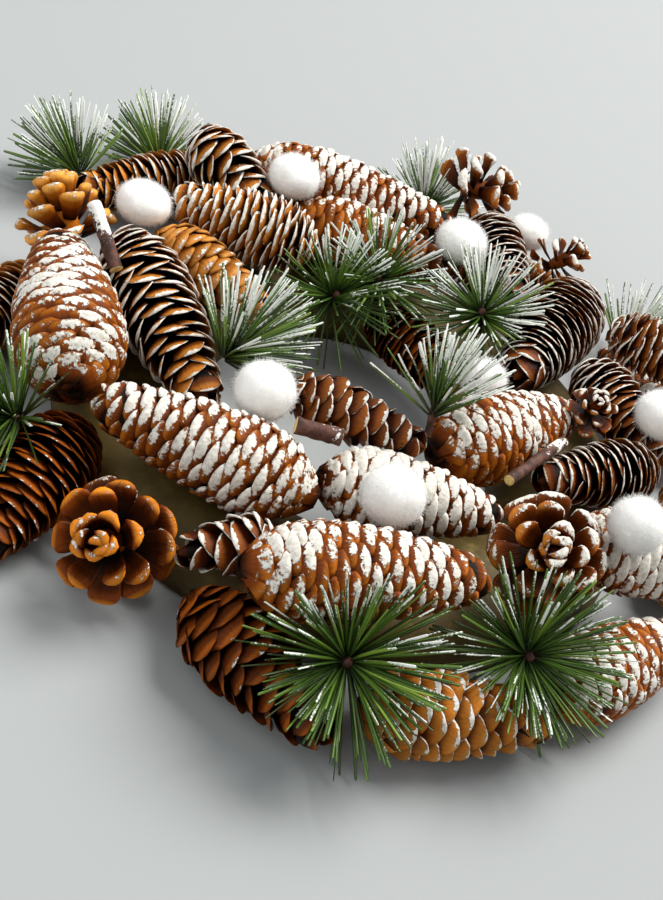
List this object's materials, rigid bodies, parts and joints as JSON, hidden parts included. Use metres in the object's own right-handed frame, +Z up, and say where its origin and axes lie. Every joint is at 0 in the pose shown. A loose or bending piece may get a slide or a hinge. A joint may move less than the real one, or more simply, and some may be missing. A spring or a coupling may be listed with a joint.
{
  "type": "snow-flocked cone wreath",
  "caption": "Round decorative wreath of spruce and pine cones dusted with white snow flocking, with white pompoms, sprays of green pine needles and cut twigs on a base ring.",
  "frame": {"origin": "on the surface that the wreath lies on, under the middle of its outline box", "axes": "+Z up through the hole of the wreath, +X to the right and +Y to the far side as the picture's viewer stands before it"},
  "size_m": [0.3722, 0.395, 0.0889],
  "materials": {
    "ring": "matte smooth tan wrap",
    "closed_cone": "matte dry scales with white flocking",
    "pale_cone": "matte dry scales with white flocking",
    "open_cone": "matte dry scales with white edges",
    "pine_cone": "satin varnished scales with white edges",
    "pompom": "soft fluffy fibre",
    "needles": "satin needles frosted white",
    "twig": "matte bark with pale cut ends"
  },
  "bodies": {
    "root": {"base_ring": "ring", "spruce_cone_01": "open_cone", "spruce_cone_02": "pale_cone", "spruce_cone_03": "closed_cone", "spruce_cone_04": "closed_cone", "spruce_cone_05": "open_cone", "spruce_cone_06": "closed_cone", "spruce_cone_07": "open_cone", "spruce_cone_08": "open_cone", "spruce_cone_09": "open_cone", "spruce_cone_10": "closed_cone", "spruce_cone_11": "closed_cone", "spruce_cone_12": "closed_cone", "spruce_cone_13": "closed_cone", "spruce_cone_14": "open_cone", "spruce_cone_15": "pale_cone", "spruce_cone_16": "open_cone", "spruce_cone_17": "open_cone", "spruce_cone_18": "closed_cone", "spruce_cone_19": "open_cone", "spruce_cone_20": "open_cone", "spruce_cone_21": "closed_cone", "spruce_cone_22": "closed_cone", "spruce_cone_23": "open_cone", "spruce_cone_24": "open_cone", "spruce_cone_25": "open_cone", "spruce_cone_26": "open_cone", "spruce_cone_27": "closed_cone", "spruce_cone_28": "closed_cone", "spruce_cone_29": "open_cone", "pine_cone_01": "pine_cone", "pine_cone_02": "pine_cone", "pine_cone_03": "pine_cone", "pine_cone_04": "pine_cone", "pine_cone_05": "pine_cone", "pine_cone_06": "pine_cone", "twig_01": "twig", "twig_02": "twig", "twig_03": "twig", "pompom_01": "pompom", "pompom_02": "pompom", "pompom_03": "pompom", "pompom_04": "pompom", "pompom_05": "pompom", "pompom_06": "pompom", "pompom_07": "pompom", "pompom_08": "pompom", "pompom_09": "pompom", "needle_spray_01": "needles", "needle_spray_02": "needles", "needle_spray_03": "needles", "needle_spray_04": "needles", "needle_spray_05": "needles", "needle_spray_06": "needles", "needle_spray_07": "needles", "needle_spray_08": "needles", "needle_spray_09": "needles", "needle_spray_10": "needles", "needle_spray_11": "needles", "needle_spray_12": "needles"}
  },
  "joints": []
}
